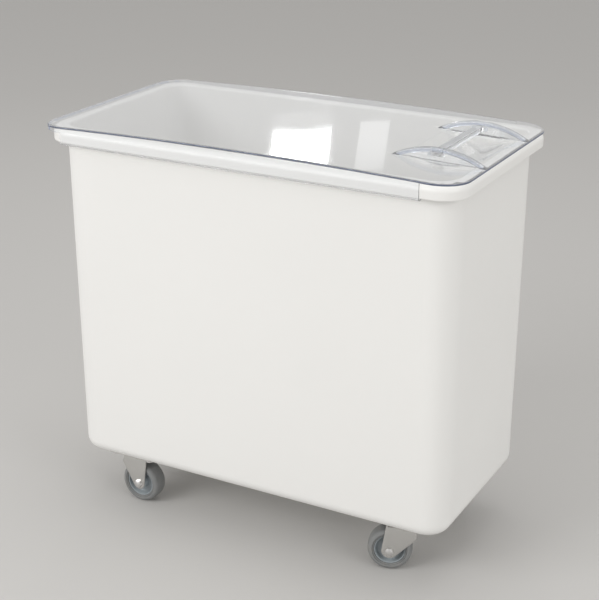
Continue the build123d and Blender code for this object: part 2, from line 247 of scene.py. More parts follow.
def makeSurface(kind, name):
    cloudScale, cloudDetail, grainDetail, metallic = surfaceLooks[kind]
    look = surfaceLooks[name]
    material, tree, shader, place = newMaterial(name, look["roughness"][0], metallic)
    cloud = noise(tree, place, look["grain"] * cloudScale, cloudDetail)
    tone = blendColours(tree, cloud, *look["tones"])
    if "dust" in look:
        patches = noise(tree, place, surfaceLooks["dustPatches"], 7.0)
        dusty = spread(tree, patches, 0.0, surfaceLooks["dustMost"], *surfaceLooks["dustRange"])
        tone = blendColours(tree, dusty, tone, look["dust"])
    grain = noise(tree, place, look["grain"], grainDetail, look.get("stretch"))
    addTone(tree, shader, tone, grain, look["roughness"])
    addBump(tree, shader, grain, look["bump"], surfaceLooks["bumpDepth"])
    return material


whitePlastic = makePolyethylene()
clearPlastic = makeClear("clearPolycarbonate")
texturedClear = makeClear("texturedPolycarbonate")
# clear plastic with painted shade and reflection, for the lid's rim and for the beads' sides
paintedShadeEdge = makeClear("edgePaintedShadePolycarbonate")
paintedShadeBead = makeClear("beadPaintedShadePolycarbonate")
zincPlate = makeSurface("metal", "zincPlate")
brightSteel = makeSurface("metal", "brightSteel")
brassTurned = makeSurface("metal", "turnedBrass")
polishedSteel = makeSurface("metal", "polishedBalls")
greyRubber = makeSurface("matt", "greyRubber")
greyCore = makeSurface("matt", "greyCore")
naturalNylon = makeSurface("matt", "naturalNylon")
print("materials made")


view = {
    "place": (1.1083, -2.0416, 1.3073),
    "yaw": 0.4931,
    "pitch": 0.3736,
    "roll": 0.0027,
    "lens": 85.47,
}


def makeCamera():
    camera = addObject("camera", bpy.data.cameras.new("camera"))
    camera.data.lens = view["lens"]
    turn = Matrix.Rotation(view["yaw"], 4, "Z") @ Matrix.Rotation(pi / 2 - view["pitch"], 4, "X")
    camera.matrix_world = Matrix.Translation(view["place"]) @ turn @ Matrix.Rotation(view["roll"], 4, "Z")
    bpy.context.scene.camera = camera


studio = {
    "floor": (0.57, 0.56, 0.545),
    "floorHalf": 9.0,
    "air": (1, 0.99, 0.975, 1),
    "surround": 0.62,
    "lamps": {
        # place, aimed at, width, height, watts
        "window": ((-1.9, -3.2, 2.3), (0, 0, 0.4), 2.6, 1.8, 72),
        "fill": ((3.4, -1.2, 1.7), (0.1, 0, 0.4), 1.8, 1.8, 31),
        "ceiling": ((0.2, 0.6, 3.4), (0, 0, 0.4), 2.2, 1.6, 14),
        "backWindow": ((-1.29, 2.45, 1.56), (0.06, -0.11, 0.72), 0.22, 0.16, 2.0),
        "farWindow": ((-0.985, 2.45, 1.51), (0.17, -0.06, 0.72), 0.11, 0.2, 0.035),
    },
}


def makeStudio():
    far = studio["floorHalf"]
    corners = [(-far, -far, 0), (far, -far, 0), (far, far, 0), (-far, far, 0)]
    mesh = bpy.data.meshes.new("floor")
    mesh.from_pydata(corners, [], [(0, 1, 2, 3)])
    floor = addObject("floor", mesh)
    material, _, shader, _ = newMaterial("paleFloor", 0.7)
    shader.inputs["Base Color"].default_value = (*studio["floor"], 1)
    mesh.materials.append(material)

    world = bpy.data.worlds.new("studio")
    bpy.context.scene.world = world
    world.use_nodes = True
    light = world.node_tree.nodes["Background"]
    light.inputs["Color"].default_value = studio["air"]
    light.inputs["Strength"].default_value = studio["surround"]

    for name, (place, aim, width, height, watts) in studio["lamps"].items():
        lamp = addObject(name, bpy.data.lights.new(name, "AREA"))
        lamp.data.shape = "RECTANGLE"
        lamp.data.size, lamp.data.size_y = width, height
        lamp.data.energy = watts
        lamp.location = place
        lamp.rotation_euler = (Vector(aim) - Vector(place)).to_track_quat("-Z", "Y").to_euler()
    bpy.context.scene.view_settings.view_transform = "Standard"


makeCamera()
makeStudio()
print("camera, floor and lamps set")


weldDistance = 0.002 * mm


def solidPiece(name, points, faces):
    # closed mesh with its faces pointing outwards
    mesh = bpy.data.meshes.new(name)
    mesh.from_pydata([tuple(point) for point in points], [], faces)
    build = bmesh.new()
    build.from_mesh(mesh)
    bmesh.ops.remove_doubles(build, verts=build.verts, dist=weldDistance)
    bmesh.ops.recalc_face_normals(build, faces=build.faces)
    build.to_mesh(mesh)
    build.free()
    return addObject(name, mesh)


def loft(name, rings):
    # solid through a row of rings, closed by a face at each end
    count = len(rings[0])
    points = [point for ring in rings for point in ring]
    faces = [tuple(range(count)), tuple(range(len(points) - count, len(points)))]
    for start in range(0, len(points) - count, count):
        for i in range(count):
            j = (i + 1) % count
            faces.append((start + i, start + j, start + count + j, start + count + i))
    return solidPiece(name, points, faces)


def turned(name, profileAt, centre, axle, steps):
    # solid of (radius, distance along the axle) points turned round the axle
    forward = axle.cross(up) if abs(axle.z) < 0.9 else Vector((1, 0, 0))
    forward.normalize()
    across = axle.cross(forward)
    points = []
    for i in range(steps):
        angle = tau * i / steps
        spoke = forward * cos(angle) + across * sin(angle)
        profile = profileAt(angle)
        points += [centre + spoke * radius + axle * along for radius, along in profile]
    count = len(profile)
    bands = count - 1 if profile[0][0] == 0 else count  # the poles need no face along the axle
    faces = []
    for i in range(steps):
        here, there = i * count, (i + 1) % steps * count
        for j in range(bands):
            k = (j + 1) % count
            faces.append((here + j, here + k, there + k, there + j))
    return solidPiece(name, points, faces)


def arc(centre, radius, start, end, steps):
    # points on an arc, angles in degrees
    angles = [radians(start + (end - start) * i / steps) for i in range(steps + 1)]
    return [(centre[0] + radius * cos(a), centre[1] + radius * sin(a)) for a in angles]


def roundOutline(radius):
    # outline of a disc, as a function of how far it is moved in
    return lambda inset: arc((0, 0), radius - inset, 0, 355, 71)


def roundedOutline(left, right, half, corners, inset=0.0, steps=10):
    # plan of a rectangle with rounded corners, anticlockwise from the front right one
    leftCorner, rightCorner = corners
    outline = arc((right - rightCorner, rightCorner - half), rightCorner - inset, -90, 0, steps)
    outline += arc((right - rightCorner, half - rightCorner), rightCorner - inset, 0, 90, steps)
    outline += arc((left + leftCorner, half - leftCorner), leftCorner - inset, 90, 180, steps)
    outline += arc((left + leftCorner, leftCorner - half), leftCorner - inset, 180, 270, steps)
    return outline


def divided(outline, spacing):
    # the same closed outline with points along its straight sides
    points = []
    for here, there in zip(outline, outline[1:] + outline[:1]):
        length = hypot(there[0] - here[0], there[1] - here[1])
        pieces = max(1, round(length / spacing))
        for i in range(pieces):
            points.append(tuple(a + (b - a) * (i / pieces) for a, b in zip(here, there)))
    return points


def mirrored(half):
    # closed section from its right half, which runs from bottom to top
    return half + [(-across, height) for across, height in reversed(half)]


def bake(piece):
    # the modifiers become the piece's plain mesh
    mesh = bpy.data.meshes.new_from_object(piece.evaluated_get(bpy.context.evaluated_depsgraph_get()))
    piece.modifiers.clear()
    piece.data = mesh
    return piece


def combine(piece, operation, tools):
    for tool in tools:
        step = piece.modifiers.new(tool.name, "BOOLEAN")
        step.operation = operation
        step.solver = "MANIFOLD"
        step.object = tool
    bake(piece)
    for tool in tools:
        bpy.data.objects.remove(tool)
    return piece


def dress(piece, material, body, nodes, sharp=35):
    # material, smooth shading between sharp edges, and the CAD nodes it stands for
    piece.data.materials.clear()
    piece.data.materials.append(material)
    piece.data.shade_smooth()
    piece.data.set_sharp_from_angle(angle=radians(sharp))
    if material is zincPlate:
        # flat faces stay flat beside rounded edges
        step = piece.modifiers.new("even shading", "WEIGHTED_NORMAL")
        step.keep_sharp, step.weight = True, 80
        bake(piece)
    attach(piece, body)
    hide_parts(*nodes)


# Lid
lidShape = {
    "thickness": 3 * mm,
    "crown": 7 * mm,
    "corners": (48 * mm, 50 * mm),
    "cornerSteps": 12,
    "edgeRound": 1.2 * mm,
    "skirtDepth": 8 * mm,
    "skirtOverlap": 2 * mm,
    "channelShort": 63 * mm,
    "channelLip": 8 * mm,
    "lipThickness": 2.5 * mm,
    "channelRound": 5 * mm,
    "grid": 12 * mm,
    "gridGap": 2.5 * mm,
    "gridJoin": radians(60),
}
gripShape = {
    "setback": 82 * mm,
    "rise": 27 * mm,
    "radius": 159 * mm,
    "halfWidth": 91 * mm,
    "cheek": 3 * mm,
    "cheekReach": 90 * mm,
    "cheekLeast": 0.4 * mm,
    "cheekSink": 0.2 * mm,
    "cheekSteps": 64,
    "bead": 8 * mm,
    "beadRound": 3.4 * mm,
    "barBehind": 3 * mm,
    "barDrop": 6.8 * mm,
    "barWidth": 16 * mm,
    "barDepth": 8 * mm,
    "barEdge": 1.2 * mm,
    "barFlare": 6 * mm,
    "barSteps": 60,
    "dishDepth": 12 * mm,
    "dishLength": 124 * mm,
    "dishSide": 18 * mm,
    "dishSteps": (6, 12),  # across its flat half and across a side
    "fine": 2.5 * mm,
}
lidLow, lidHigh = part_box("sliding_lid")
lidUnder = lidHigh.z - gripShape["rise"]
gripX = lidHigh.x - gripShape["setback"]
archCentre = lidHigh.z - gripShape["radius"]
barX = gripX - gripShape["barBehind"]
barTop = lidHigh.z - gripShape["barDrop"]
barHalf = gripShape["halfWidth"] - gripShape["bead"] / 2
dishWall = gripShape["halfWidth"] - gripShape["cheek"] / 2
channelStart = lidLow.x + lidShape["corners"][0]
channelEnd = lidHigh.x - lidShape["channelShort"]


def plateTop(x):
    fromMiddle = 2 * (x - lidLow.x) / (lidHigh.x - lidLow.x) - 1
    return lidUnder + lidShape["crown"] * (1 - fromMiddle**2) + lidShape["thickness"]


def plateMiddle(x):
    return plateTop(x) - lidShape["thickness"] / 2


def dishAt(x, y):
    # depth of the finger dish, soft at its ends and at its sides
    share = 2 * abs(x - gripX) / gripShape["dishLength"]
    if share >= 1:
        return 0.0
    within = min(1, max(0, (dishWall - abs(y)) / gripShape["dishSide"]))
    return gripShape["dishDepth"] * within**2 * (3 - 2 * within) * (1 - share**2) ** 1.5


def lidOutline(inset):
    outline = roundedOutline(lidLow.x, lidHigh.x, lidHigh.y, lidShape["corners"], inset)
    return divided(outline, lidShape["grid"])


def gridLines():
    # places along and across the plate, finer in the dish and finest at its sides
    grid, fine, side = lidShape["grid"], gripShape["fine"], gripShape["dishSide"]
    halfDish = round(gripShape["dishLength"] / 2 / fine)
    along = [gripX + fine * i for i in range(-halfDish, halfDish + 1)]
    while along[0] - grid > lidLow.x:
        along.insert(0, along[0] - grid)
    while along[-1] + grid < lidHigh.x:
        along.append(along[-1] + grid)
    flat = dishWall - side
    flatSteps, sideSteps = gripShape["dishSteps"]
    across = [flat * i / flatSteps for i in range(flatSteps)]
    across += [flat + side * i / sideSteps for i in range(sideSteps + 1)]
    while across[-1] + grid / 2 < lidHigh.y:
        across.append(across[-1] + grid / 2)
    return along, sorted({-y for y in across} | set(across))


def insideLid(x, y, margin):
    # whether a place lies inside the lid's outline by a margin
    backCorner, gripCorner = lidShape["corners"]
    corner = gripCorner if x > 0 else backCorner
    past = abs(x) - (lidHigh.x - corner)
    out = abs(y) - (lidHigh.y - corner)
    if past > 0 and out > 0:
        return hypot(past, out) < corner - margin
    return max(past, out) < corner - margin


def plateSheet(border):
    # the plate's upper face: its points, its faces, and which points lie on the border
    along, across = gridLines()
    margin = lidShape["edgeRound"] + lidShape["gridGap"]
    inner = [(x, y) for x in along for y in across if insideLid(x, y, margin)]
    loop = list(range(len(border)))
    plan = [Vector(place) for place in border + inner]
    insideOnly, nearness = 1, 1e-7
    flat, _, triangles, sources, _, _ = delaunay_2d_cdt(plan, [], [loop], insideOnly, nearness)
    spot = {source: i for i, group in enumerate(sources) for source in group}
    points = [Vector((p.x, p.y, plateTop(p.x) - dishAt(p.x, p.y))) for p in flat]
    sheet = bmesh.new()
    corners = [sheet.verts.new(point) for point in points]
    for triangle in triangles:
        sheet.faces.new([corners[i] for i in triangle])
    limit = lidShape["gridJoin"]
    bmesh.ops.join_triangles(
        sheet, faces=sheet.faces, angle_face_threshold=limit, angle_shape_threshold=limit
    )
    sheet.verts.index_update()
    faces = [tuple(vertex.index for vertex in face.verts) for face in sheet.faces]
    sheet.free()
    return points, faces, [spot[i] for i in loop]


def makePlate():
    # crowned plate with its finger dish and a rounded edge all round
    edge, thickness = lidShape["edgeRound"], lidShape["thickness"]
    points, faces, topRing = plateSheet(lidOutline(edge))
    count, around = len(points), len(topRing)
    faces += [tuple(reversed([i + count for i in face])) for face in faces]
    points += [point - up * thickness for point in points]
    rings = [topRing]
    for angle, below in ((30, False), (60, False), (90, False), (90, True), (60, True), (30, True)):
        turn = radians(angle)
        drop = edge * (1 - cos(turn))
        if below:
            drop = thickness - drop
        rings.append(list(range(len(points), len(points) + around)))
        points += [Vector((x, y, plateTop(x) - drop)) for x, y in lidOutline(edge * (1 - sin(turn)))]
    rings.append([i + count for i in topRing])
    for near, far in zip(rings, rings[1:]):
        for i in range(around):
            j = (i + 1) % around
            faces.append((near[i], far[i], far[j], near[j]))
    return solidPiece("lidPlate", points, faces)


def skirtSection():
    # (inset, height) round the turned-down edge, where None is the plate's middle
    thickness, edge = lidShape["thickness"], lidShape["edgeRound"]
    low = lidUnder + thickness - lidShape["skirtDepth"]
    section = [(0, None)] + arc((edge, low + edge), edge, 180, 270, 4)
    section += arc((thickness - edge, low + edge), edge, 270, 360, 4)
    return section + [(thickness, None)]


def channelSection():
    # the same for a side channel that hooks under the rim
    thickness, turn = lidShape["thickness"], lidShape["channelRound"]
    half = lidShape["lipThickness"] / 2
    reach = thickness + lidShape["channelLip"]
    low = lidLow.z
    section = [(0, None)] + arc((turn, low + turn), turn, 180, 270, 6)
    section += arc((reach - half, low + half), half, -90, 90, 6)
    section += arc((thickness + half, low + 3 * half), half, 270, 180, 4)
    return section + [(thickness, None)]


def makeSkirt():
    section = skirtSection()
    steps, corners = lidShape["cornerSteps"], lidShape["corners"]
    start = channelStart + lidShape["skirtOverlap"]
    paths = []
    for inset, _ in section:
        outline = roundedOutline(lidLow.x, lidHigh.x, lidHigh.y, corners, inset, steps)
        backCorners = outline[2 * (steps + 1) :]
        half = lidHigh.y - inset
        paths.append([(start, half)] + backCorners + [(start, -half)])
    rings = []
    for spots in zip(*paths):
        heights = [plateMiddle(x) if z is None else z for (x, _), (_, z) in zip(spots, section)]
        rings.append([Vector((x, y, z)) for (x, y), z in zip(spots, heights)])
    return loft("lidSkirt", rings)


def makeChannel(side):
    steps = round((channelEnd - channelStart) / lidShape["grid"])
    rings = []
    for i in range(steps + 1):
        x = channelStart + (channelEnd - channelStart) * i / steps
        section = [(inset, plateMiddle(x) if z is None else z) for inset, z in channelSection()]
        rings.append([Vector((x, side * (lidHigh.y - inset), z)) for inset, z in section])
    return loft("lidChannel", rings)


def archTop(x):
    return archCentre + sqrt(gripShape["radius"] ** 2 - (x - gripX) ** 2)


def makeCheek(side):
    # arched cheek: a web up from the dish, with a rounded bead along its top
    shape = gripShape
    web, bead, sink = shape["cheek"] / 2, shape["bead"] / 2, shape["cheekSink"]
    middle = side * shape["halfWidth"]
    start, end = gripX - shape["cheekReach"], lidHigh.x - lidShape["edgeRound"] / 2
    rings = []
    for i in range(shape["cheekSteps"] + 1):
        x = start + (end - start) * i / shape["cheekSteps"]
        top, low = archTop(x), plateMiddle(x)
        if top < low + shape["cheekLeast"]:
            continue
        joint = max(top - shape["bead"], low)
        turn = min(shape["beadRound"], (top - joint) / 2)
        right = [(web, low - sink), (web, joint - sink / 2)]
        right += arc((bead - turn / 2, joint + turn / 2), turn / 2, -90, 0, 3)
        right += arc((bead - turn, top - turn), turn, 0, 90, 5)
        rings.append([Vector((x, middle + y, z)) for y, z in mirrored(right)])
    return loft("lidCheek", rings)


def makeBar():
    # crossbar between the cheeks, flared where it meets their beads
    shape = gripShape
    under, edge, reach = barTop - shape["barDepth"], shape["barEdge"], shape["barFlare"]
    rings = []
    for i in range(shape["barSteps"] + 1):
        y = shape["halfWidth"] * (2 * i / shape["barSteps"] - 1)
        near = min(max(barHalf - abs(y), 0), reach)
        flare = reach - sqrt(reach**2 - (reach - near) ** 2)
        half = shape["barWidth"] / 2 + flare
        right = [(half, under)] + arc((half - edge, barTop - edge), edge, 0, 90, 4)
        rings.append([Vector((barX + x, y, z)) for x, z in mirrored(right)])
    return loft("lidBar", rings)


lidFinishes = (clearPlastic, texturedClear, paintedShadeEdge, paintedShadeBead)
finishLimits = {
    # how near a face lies to a surface, and how squarely it points its way
    "near": 0.1 * mm,
    "beadNear": 0.2 * mm,
    "barUpward": 0.9,
    "barBackward": 0.7,
    "rimUpright": 0.9,
    "beadSideways": 0.8,
}


def finishOf(face):
    # painted shade and reflection, dark blue on the rim all round the plate and blue-grey on the upright
    # sides of the cheeks' beads, and fine texture on the bar's top and on the side where the fingers pull
    spot, way, limits = face.center, face.normal, finishLimits
    below = plateTop(spot.x) - spot.z
    outside = not insideLid(spot.x, spot.y, lidShape["edgeRound"] / 2)
    # painted shade and reflection on the rim all round the plate
    if outside and 0 < below < lidShape["thickness"] and abs(way.z) < limits["rimUpright"]:
        return paintedShadeEdge
    fromBead = abs(abs(abs(spot.y) - gripShape["halfWidth"]) - gripShape["bead"] / 2)
    # painted shade and reflection on the upright sides of the beads
    if below < 0 and fromBead < limits["beadNear"] and abs(way.y) > limits["beadSideways"]:
        return paintedShadeBead
    above = abs(spot.z - barTop) < limits["near"] and way.z > limits["barUpward"]
    behind = barTop - gripShape["barDepth"] < spot.z < barTop and way.x < -limits["barBackward"]
    if abs(spot.x - barX) < gripShape["barWidth"] and abs(spot.y) < barHalf and (above or behind):
        return texturedClear
    return clearPlastic


def makeLid():
    lid = makePlate()
    lid.name = "clearLid"
    parts = [makeSkirt(), makeBar()]
    for side in (-1, 1):
        parts += [makeChannel(side), makeCheek(side)]
    combine(lid, "UNION", parts)
    dress(lid, clearPlastic, "lid", ["sliding_lid"])
    # adds the textured finish and the two painted-shade finishes
    for finish in lidFinishes[1:]:
        lid.data.materials.append(finish)
    for face in lid.data.polygons:
        face.material_index = lidFinishes.index(finishOf(face))


makeLid()
print("lid made")


# Wheels
wheelShape = {
    "shoulder": 7 * mm,
    "treadCrown": 0.5 * mm,
    "treadSteps": (0.75, 0.5, 0.25),
    "treadStepFoot": (1.1 * mm, 0.2 * mm),
    "treadStepHead": (0.5 * mm, 0.2 * mm),
    "grooveDeep": 1.6 * mm,
    "lipFoot": 1 * mm,
    "lipPlace": (1.2 * mm, 0.6 * mm),
    "lipRound": 1.1 * mm,
    "bore": 27 * mm,
    "rimHalf": 13 * mm,
    "rimWall": 3 * mm,
    "rimBead": 1.2 * mm,
    "rimBeadPlace": (1.4 * mm, 1 * mm),
    "rimFillet": 4 * mm,
    "rimDraft": 1 * mm,
    "webHalf": 3 * mm,
    "hubRadius": 12 * mm,
    "hubFillet": 3 * mm,
    "hubEdge": 1 * mm,
    "hubBore": 9.05 * mm,
    "steps": 120,
}


def bothSides(half):
    # closed profile from the half on the bolt's side, which runs from the bore outwards
    return [(radius, -along) for radius, along in half] + half[::-1]


def tyreProfile(radius, halfWidth):
    # lip that grips the core, groove, step beside the tread, shoulder, and the crowned tread
    shape = wheelShape
    shoulder, bore = shape["shoulder"], shape["bore"]
    side = halfWidth - shape["grooveDeep"]
    centre = (radius - shape["treadCrown"] - shoulder, halfWidth - shoulder)
    lipOut, lipIn = shape["lipPlace"]
    footIn, footUp = shape["treadStepFoot"]
    headIn, headDown = shape["treadStepHead"]
    half = [(bore, side - shape["lipFoot"])]
    half += arc((bore + lipOut, side - lipIn), shape["lipRound"], 150, 20, 6)
    half += [(centre[0] - footIn, side + footUp), (centre[0] - headIn, halfWidth - headDown)]
    half += arc(centre, shoulder, 90, 0, 9)
    for share in shape["treadSteps"]:
        half.append((radius - shape["treadCrown"] * share**2, centre[1] * share))
    return bothSides(half)


def coreProfile(halfWidth):
    # hub, thin web, and the rim that carries the tyre
    shape = wheelShape
    bore, rim, web, hub = shape["bore"], shape["rimHalf"], shape["webHalf"], shape["hubRadius"]
    hubTurn, rimTurn, edge = shape["hubFillet"], shape["rimFillet"], shape["hubEdge"]
    inner = bore - shape["rimWall"]
    bead, (beadIn, beadDown) = shape["rimBead"], shape["rimBeadPlace"]
    half = [(shape["hubBore"], halfWidth), (hub - edge, halfWidth), (hub, halfWidth - edge)]
    half += arc((hub + hubTurn, web + hubTurn), hubTurn, 180, 270, 5)
    half += arc((inner - rimTurn - shape["rimDraft"], web + rimTurn), rimTurn, 270, 360, 5)
    half += arc((bore - beadIn, rim - beadDown), bead, 180, 20, 6)
    half.append((bore, rim - bead))
    return bothSides(half)


def middleOf(node):
    low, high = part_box(node)
    return (low + high) / 2


joints = {joint["name"]: joint for joint in frame["joints"]}
sides = ("front", "rear")
casterNames = [f"{kind}_{side}" for kind in ("rigid", "swivel") for side in sides]


def axleOf(name):
    return Vector(joints[f"spin_{name}"]["axis"]).normalized()


def makeWheels():
    steps = wheelShape["steps"]
    for name in casterNames:
        low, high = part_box(f"tyre_{name}")
        centre, axle = (low + high) / 2, axleOf(name)
        tread = tyreProfile((high.z - low.z) / 2, casterShape["tyreWidth"] / 2)
        tyre = turned(f"tyreMoulded_{name}", lambda angle: tread, centre, axle, steps)
        dress(tyre, greyRubber, f"wheel_{name}", [f"tyre_{name}"])
        spool = coreProfile(casterShape["hubLength"] / 2)
        core = turned(f"coreMoulded_{name}", lambda angle: spool, centre, axle, steps)
        dress(core, greyCore, f"wheel_{name}", [f"wheel_core_{name}"])


# Casters: plates, forks, bolts and nuts
casterShape = {
    "tyreWidth": 32 * mm,
    "hubLength": 34 * mm,
    "sideGap": 0.5 * mm,
    "sheet": 2.5 * mm,
    "sheetSink": 0.1 * mm,
    "turnedEdge": 1.6 * mm,
    "crownWidth": 4.5 * mm,
    "crownFall": 0.7 * mm,
    "bend": 3 * mm,
    "bendSink": 0.5 * mm,
    "bendShort": 2 * mm,
    "axleBore": 4.1 * mm,
    "plate": (95 * mm, 67 * mm),
    "plateThickness": 2.5 * mm,
    "plateCorner": 8 * mm,
    "plateEdge": 0.5 * mm,
    "boltSpacing": (73 * mm, 45 * mm),
    "slot": (13 * mm, 9 * mm),
    "slotPast": 1 * mm,
    "rigid": {"tip": 12 * mm, "front": 19.5 * mm, "back": 34 * mm, "backTop": 27 * mm, "chest": 76 * mm},
    "swivel": {"tip": 14 * mm, "front": 20 * mm, "back": 32 * mm, "chest": 64 * mm, "trail": 26 * mm},
    "raceGap": 0.2 * mm,
    "crown": 29 * mm,
    "crownCorner": 3 * mm,
    "crownEdge": 0.6 * mm,
    "discEdge": 0.8 * mm,
    "hubRing": 17.85 * mm,
    "ringEdge": 0.3 * mm,
    "ringSink": 0.5 * mm,
    "kingpin": 16 * mm,
    "kingpinGap": 0.05 * mm,
    "drillPast": 5 * mm,
}
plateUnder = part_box("swivel_plate_front")[0].z
legInner = casterShape["hubLength"] / 2 + casterShape["sideGap"]
legOuter = legInner + casterShape["sheet"]


def tangentPoint(tip, x, y, side):
    # where a line from a point meets the leg's round tip about the axle
    reach = hypot(x, y)
    along = tip * tip / reach
    across = side * tip * sqrt(reach * reach - tip * tip) / reach
    return (along * x - across * y) / reach, (along * y + across * x) / reach


def legOutline(tip, front, frontUp, back, backUp, tops):
    # outline about the axle: round tip from the back edge to the front one, then the top
    frontX, frontZ = tangentPoint(tip, front, frontUp, -1)
    backX, backZ = tangentPoint(tip, -back, backUp, 1)
    start, end = degrees(atan2(backZ, backX)) % 360, degrees(atan2(frontZ, frontX)) + 360
    return arc((0, 0), tip, start, end, 14) + tops


def makeLeg(outline, centre, axle, side):
    # pressed leg whose outer face rolls over at its edges
    forward = up.cross(axle)
    count = len(outline)
    build = bmesh.new()
    walls = []
    for distance in (legInner, legOuter):
        out = axle * side * distance
        walls.append([build.verts.new(centre + forward * x + up * z + out) for x, z in outline])
    build.faces.new(walls[0])
    outer = build.faces.new(walls[1])
    for i in range(count):
        j = (i + 1) % count
        build.faces.new((walls[0][i], walls[0][j], walls[1][j], walls[1][i]))
    bmesh.ops.recalc_face_normals(build, faces=build.faces)
    # the pressed face falls away a little towards its edge, and then rolls over
    rim = list(outer.edges)
    bmesh.ops.inset_individual(build, faces=[outer], thickness=casterShape["crownWidth"])
    for vertex in {vertex for edge in rim for vertex in edge.verts}:
        vertex.co -= axle * side * casterShape["crownFall"]
    turn = casterShape["turnedEdge"]
    bmesh.ops.bevel(build, geom=rim, offset=turn, segments=5, profile=0.5, affect="EDGES")
    mesh = bpy.data.meshes.new("leg")
    build.to_mesh(mesh)
    build.free()
    return addObject("leg", mesh)


def makeBend(start, end, height, centre, axle, side):
    # filler in the corner where a leg bends out of the sheet above it
    forward = up.cross(axle)
    bend, sink = casterShape["bend"], casterShape["bendSink"]
    section = [(legOuter - sink, height + sink), (legOuter + bend, height + sink)]
    section += arc((legOuter + bend, height - bend), bend, 90, 180, 6)
    section.append((legOuter - sink, height - bend))
    rings = []
    for x in (start, end):
        base = Vector((centre.x, centre.y, 0)) + forward * x
        rings.append([base + axle * side * out + up * z for out, z in section])
    return loft("bend", rings)


def makeLegs(outline, back, front, height, centre, axle):
    # both legs of a fork, with the bends at their tops
    short = casterShape["bendShort"]
    legs = [makeLeg(outline, centre, axle, way) for way in (-1, 1)]
    return legs + [makeBend(short - back, front - short, height, centre, axle, way) for way in (-1, 1)]


def slab(name, outlineAt, place, forward, low, high, edge):
    # flat sheet with softly broken edges, from an outline that can be moved in
    across = up.cross(forward)
    rings = []
    for height, inset in ((low, edge), (low + edge, 0), (high - edge, 0), (high, edge)):
        rings.append([place + forward * x + across * y + up * height for x, y in outlineAt(inset)])
    return loft(name, rings)


def boltPlaces(centre):
    along, across = casterShape["boltSpacing"]
    spots = [(i * along / 2, j * across / 2) for i in (-1, 1) for j in (-1, 1)]
    return [Vector((centre.x + x, centre.y + y, 0)) for x, y in spots]


def basePlate(name, centre):
    # mounting plate with a slotted hole near each corner
    length, width = casterShape["plate"]
    corner = casterShape["plateCorner"]

    def outlineAt(inset):
        return roundedOutline(-length / 2, length / 2, width / 2, (corner, corner), inset, 6)

    place = Vector((centre.x, centre.y, 0))
    high = plateUnder + casterShape["plateThickness"]
    plate = slab(name, outlineAt, place, Vector((1, 0, 0)), plateUnder, high, casterShape["plateEdge"])
    slotLength, slotWidth = casterShape["slot"]
    radius, shift, past = slotWidth / 2, (slotLength - slotWidth) / 2, casterShape["slotPast"]
    hole = arc((shift, 0), radius, -90, 90, 10) + arc((-shift, 0), radius, 90, 270, 10)
    tools = []
    for spot in boltPlaces(centre):
        rings = [[spot + Vector((x, y, z)) for x, y in hole] for z in (plateUnder - past, high + past)]
        tools.append(loft("slot", rings))
    return combine(plate, "DIFFERENCE", tools)


def drill(centre, axle, radius, start, end):
    profile = [(0, start), (radius, start), (radius, end), (0, end)]
    return turned("drill", lambda angle: profile, centre, axle, 32)


def drillAxle(centre, axle):
    return drill(centre, axle, casterShape["axleBore"], -2 * legOuter, 2 * legOuter)


def makeRigidForks():
    shape = casterShape["rigid"]
    front, back = shape["front"], shape["back"]
    for side in sides:
        node = f"rigid_fork_{side}"
        axle = axleOf(f"rigid_{side}")
        centre = middleOf(f"tyre_rigid_{side}")
        low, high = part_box(node)
        fork = basePlate("rigidForkPressed_" + side, (low + high) / 2)
        top = plateUnder + casterShape["plateThickness"] - casterShape["sheetSink"] - centre.z
        chest = shape["chest"] - centre.z
        tops = [(front, top), (-shape["backTop"], top), (-back, chest)]
        outline = legOutline(shape["tip"], front, top, back, chest, tops)
        combine(fork, "UNION", makeLegs(outline, shape["backTop"], front, plateUnder, centre, axle))
        combine(fork, "DIFFERENCE", [drillAxle(centre, axle)])
        dress(fork, zincPlate, "bin", [node])


def sheetOutline(inset):
    # straight part of a swivel fork's crown, which the legs bend out of
    shape, corner = casterShape["swivel"], casterShape["crownCorner"]
    return roundedOutline(-shape["back"], shape["front"], legOuter, (corner, corner), inset, 5)


def makeSwivelForks():
    size, shape = casterShape, casterShape["swivel"]
    for side in sides:
        node = f"swivel_fork_{side}"
        axle = axleOf(f"swivel_{side}")
        forward = up.cross(axle)
        centre = middleOf(f"tyre_swivel_{side}")
        pivot = middleOf(f"kingpin_{side}")
        place = Vector((pivot.x, pivot.y, 0))
        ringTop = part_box(node)[1].z
        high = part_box(f"race_balls_{side}")[0].z - size["raceGap"]
        low, ringLow = high - size["sheet"], high - size["ringSink"]
        name, ringAt = "swivelForkPressed_" + side, roundOutline(size["hubRing"])
        fork = slab(name, sheetOutline, place, forward, low, high, size["crownEdge"])
        disc = slab("disc", roundOutline(size["crown"]), place, forward, low, high, size["discEdge"])
        ring = slab("ring", ringAt, place, forward, ringLow, ringTop, size["ringEdge"])
        top, chest = high - size["sheetSink"] - centre.z, shape["chest"] - centre.z
        front, back = shape["trail"] + shape["front"], shape["back"] - shape["trail"]
        tops = [(front, chest), (front, top), (-back, top)]
        outline = legOutline(shape["tip"], front, chest, back, top, tops)
        combine(fork, "UNION", [disc, ring] + makeLegs(outline, back, front, low, centre, axle))
        pinBore, past = size["kingpin"] / 2 + size["kingpinGap"], size["drillPast"]
        bores = [drillAxle(centre, axle), drill(place, up, pinBore, low - past, ringTop + past)]
        combine(fork, "DIFFERENCE", bores)
        dress(fork, zincPlate, f"fork_swivel_{side}", [node])


